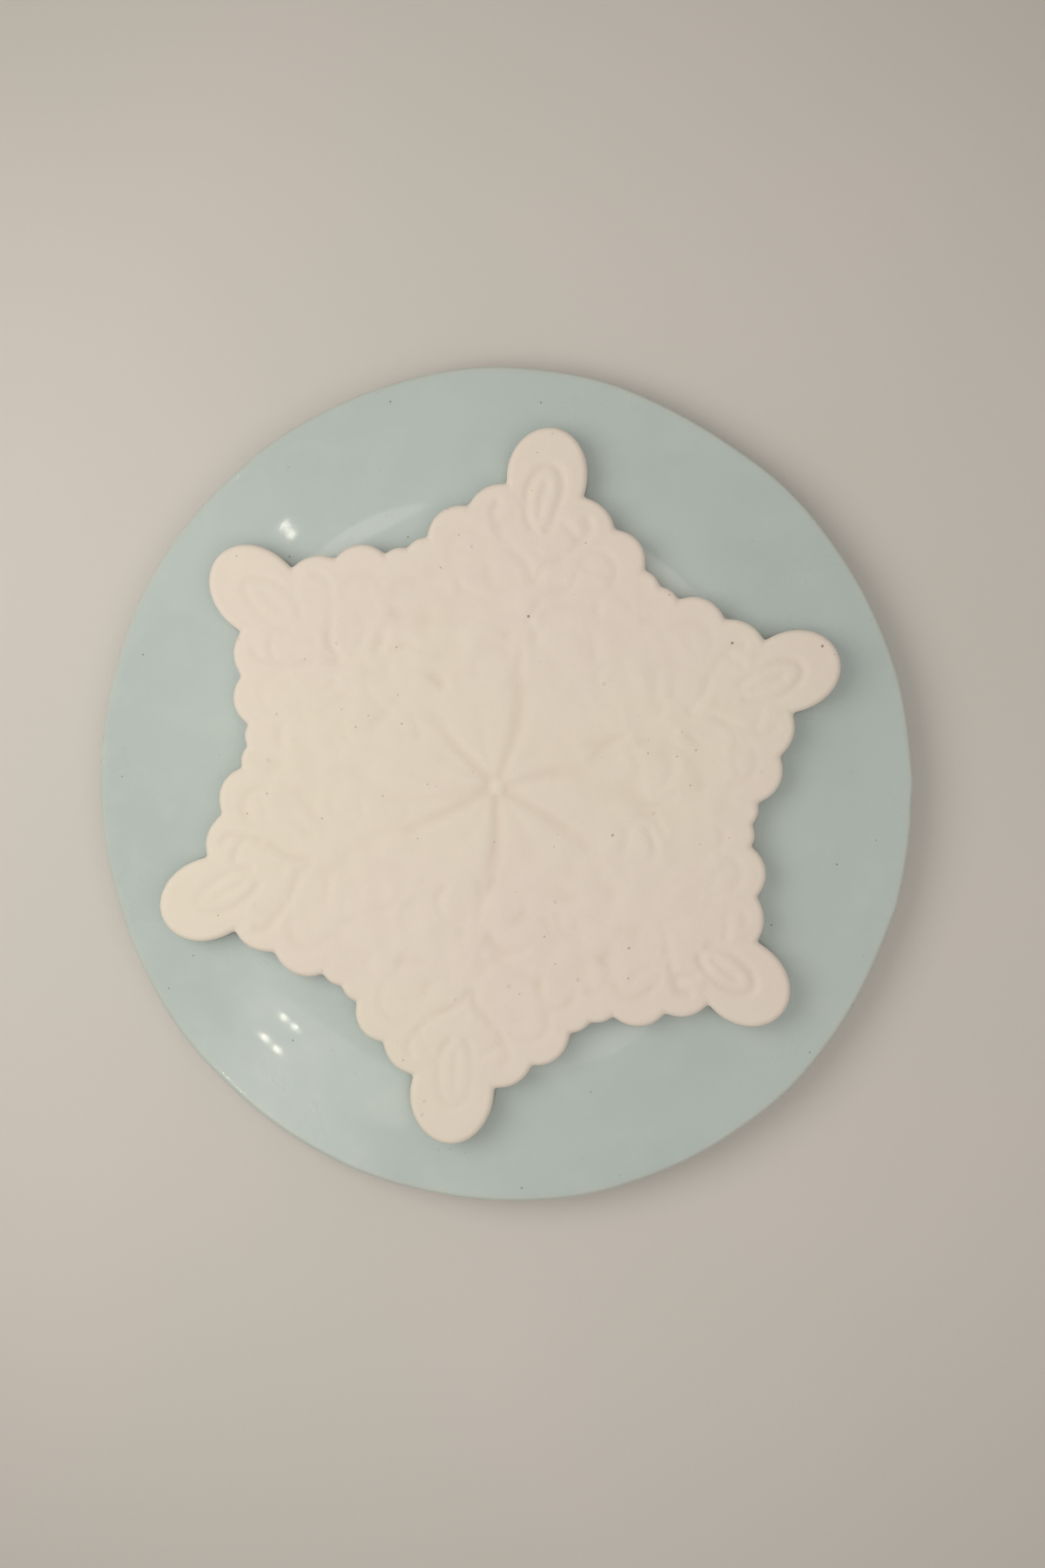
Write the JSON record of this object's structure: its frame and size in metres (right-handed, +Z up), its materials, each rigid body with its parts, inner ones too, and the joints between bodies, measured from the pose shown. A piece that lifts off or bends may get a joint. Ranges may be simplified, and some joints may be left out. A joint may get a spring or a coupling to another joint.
{
  "type": "silicone casting mould",
  "caption": "Round hand-poured silicone block mould with a snowflake cavity in its top face, and the relief snowflake casting that it makes, laid face up over the cavity.",
  "frame": {"origin": "centre of the silicone block's underside, level with the surface it lies on", "axes": "+Z up out of the cavity's mouth; +Y along one arm of the snowflake cavity; +X across it, towards the valley between two arms"},
  "size_m": [0.1484, 0.1516, 0.0148],
  "materials": {
    "silicone": "satin",
    "cast_resin": "matte"
  },
  "bodies": {
    "mould": {"silicone_mould": "silicone"},
    "casting": {"cast_snowflake": "cast_resin"}
  },
  "joints": [
    {"name": "cast_lift", "type": "slide", "parent": "mould", "child": "casting", "axis": [0, 0, 1], "range_m": [0, 0.05]}
  ]
}
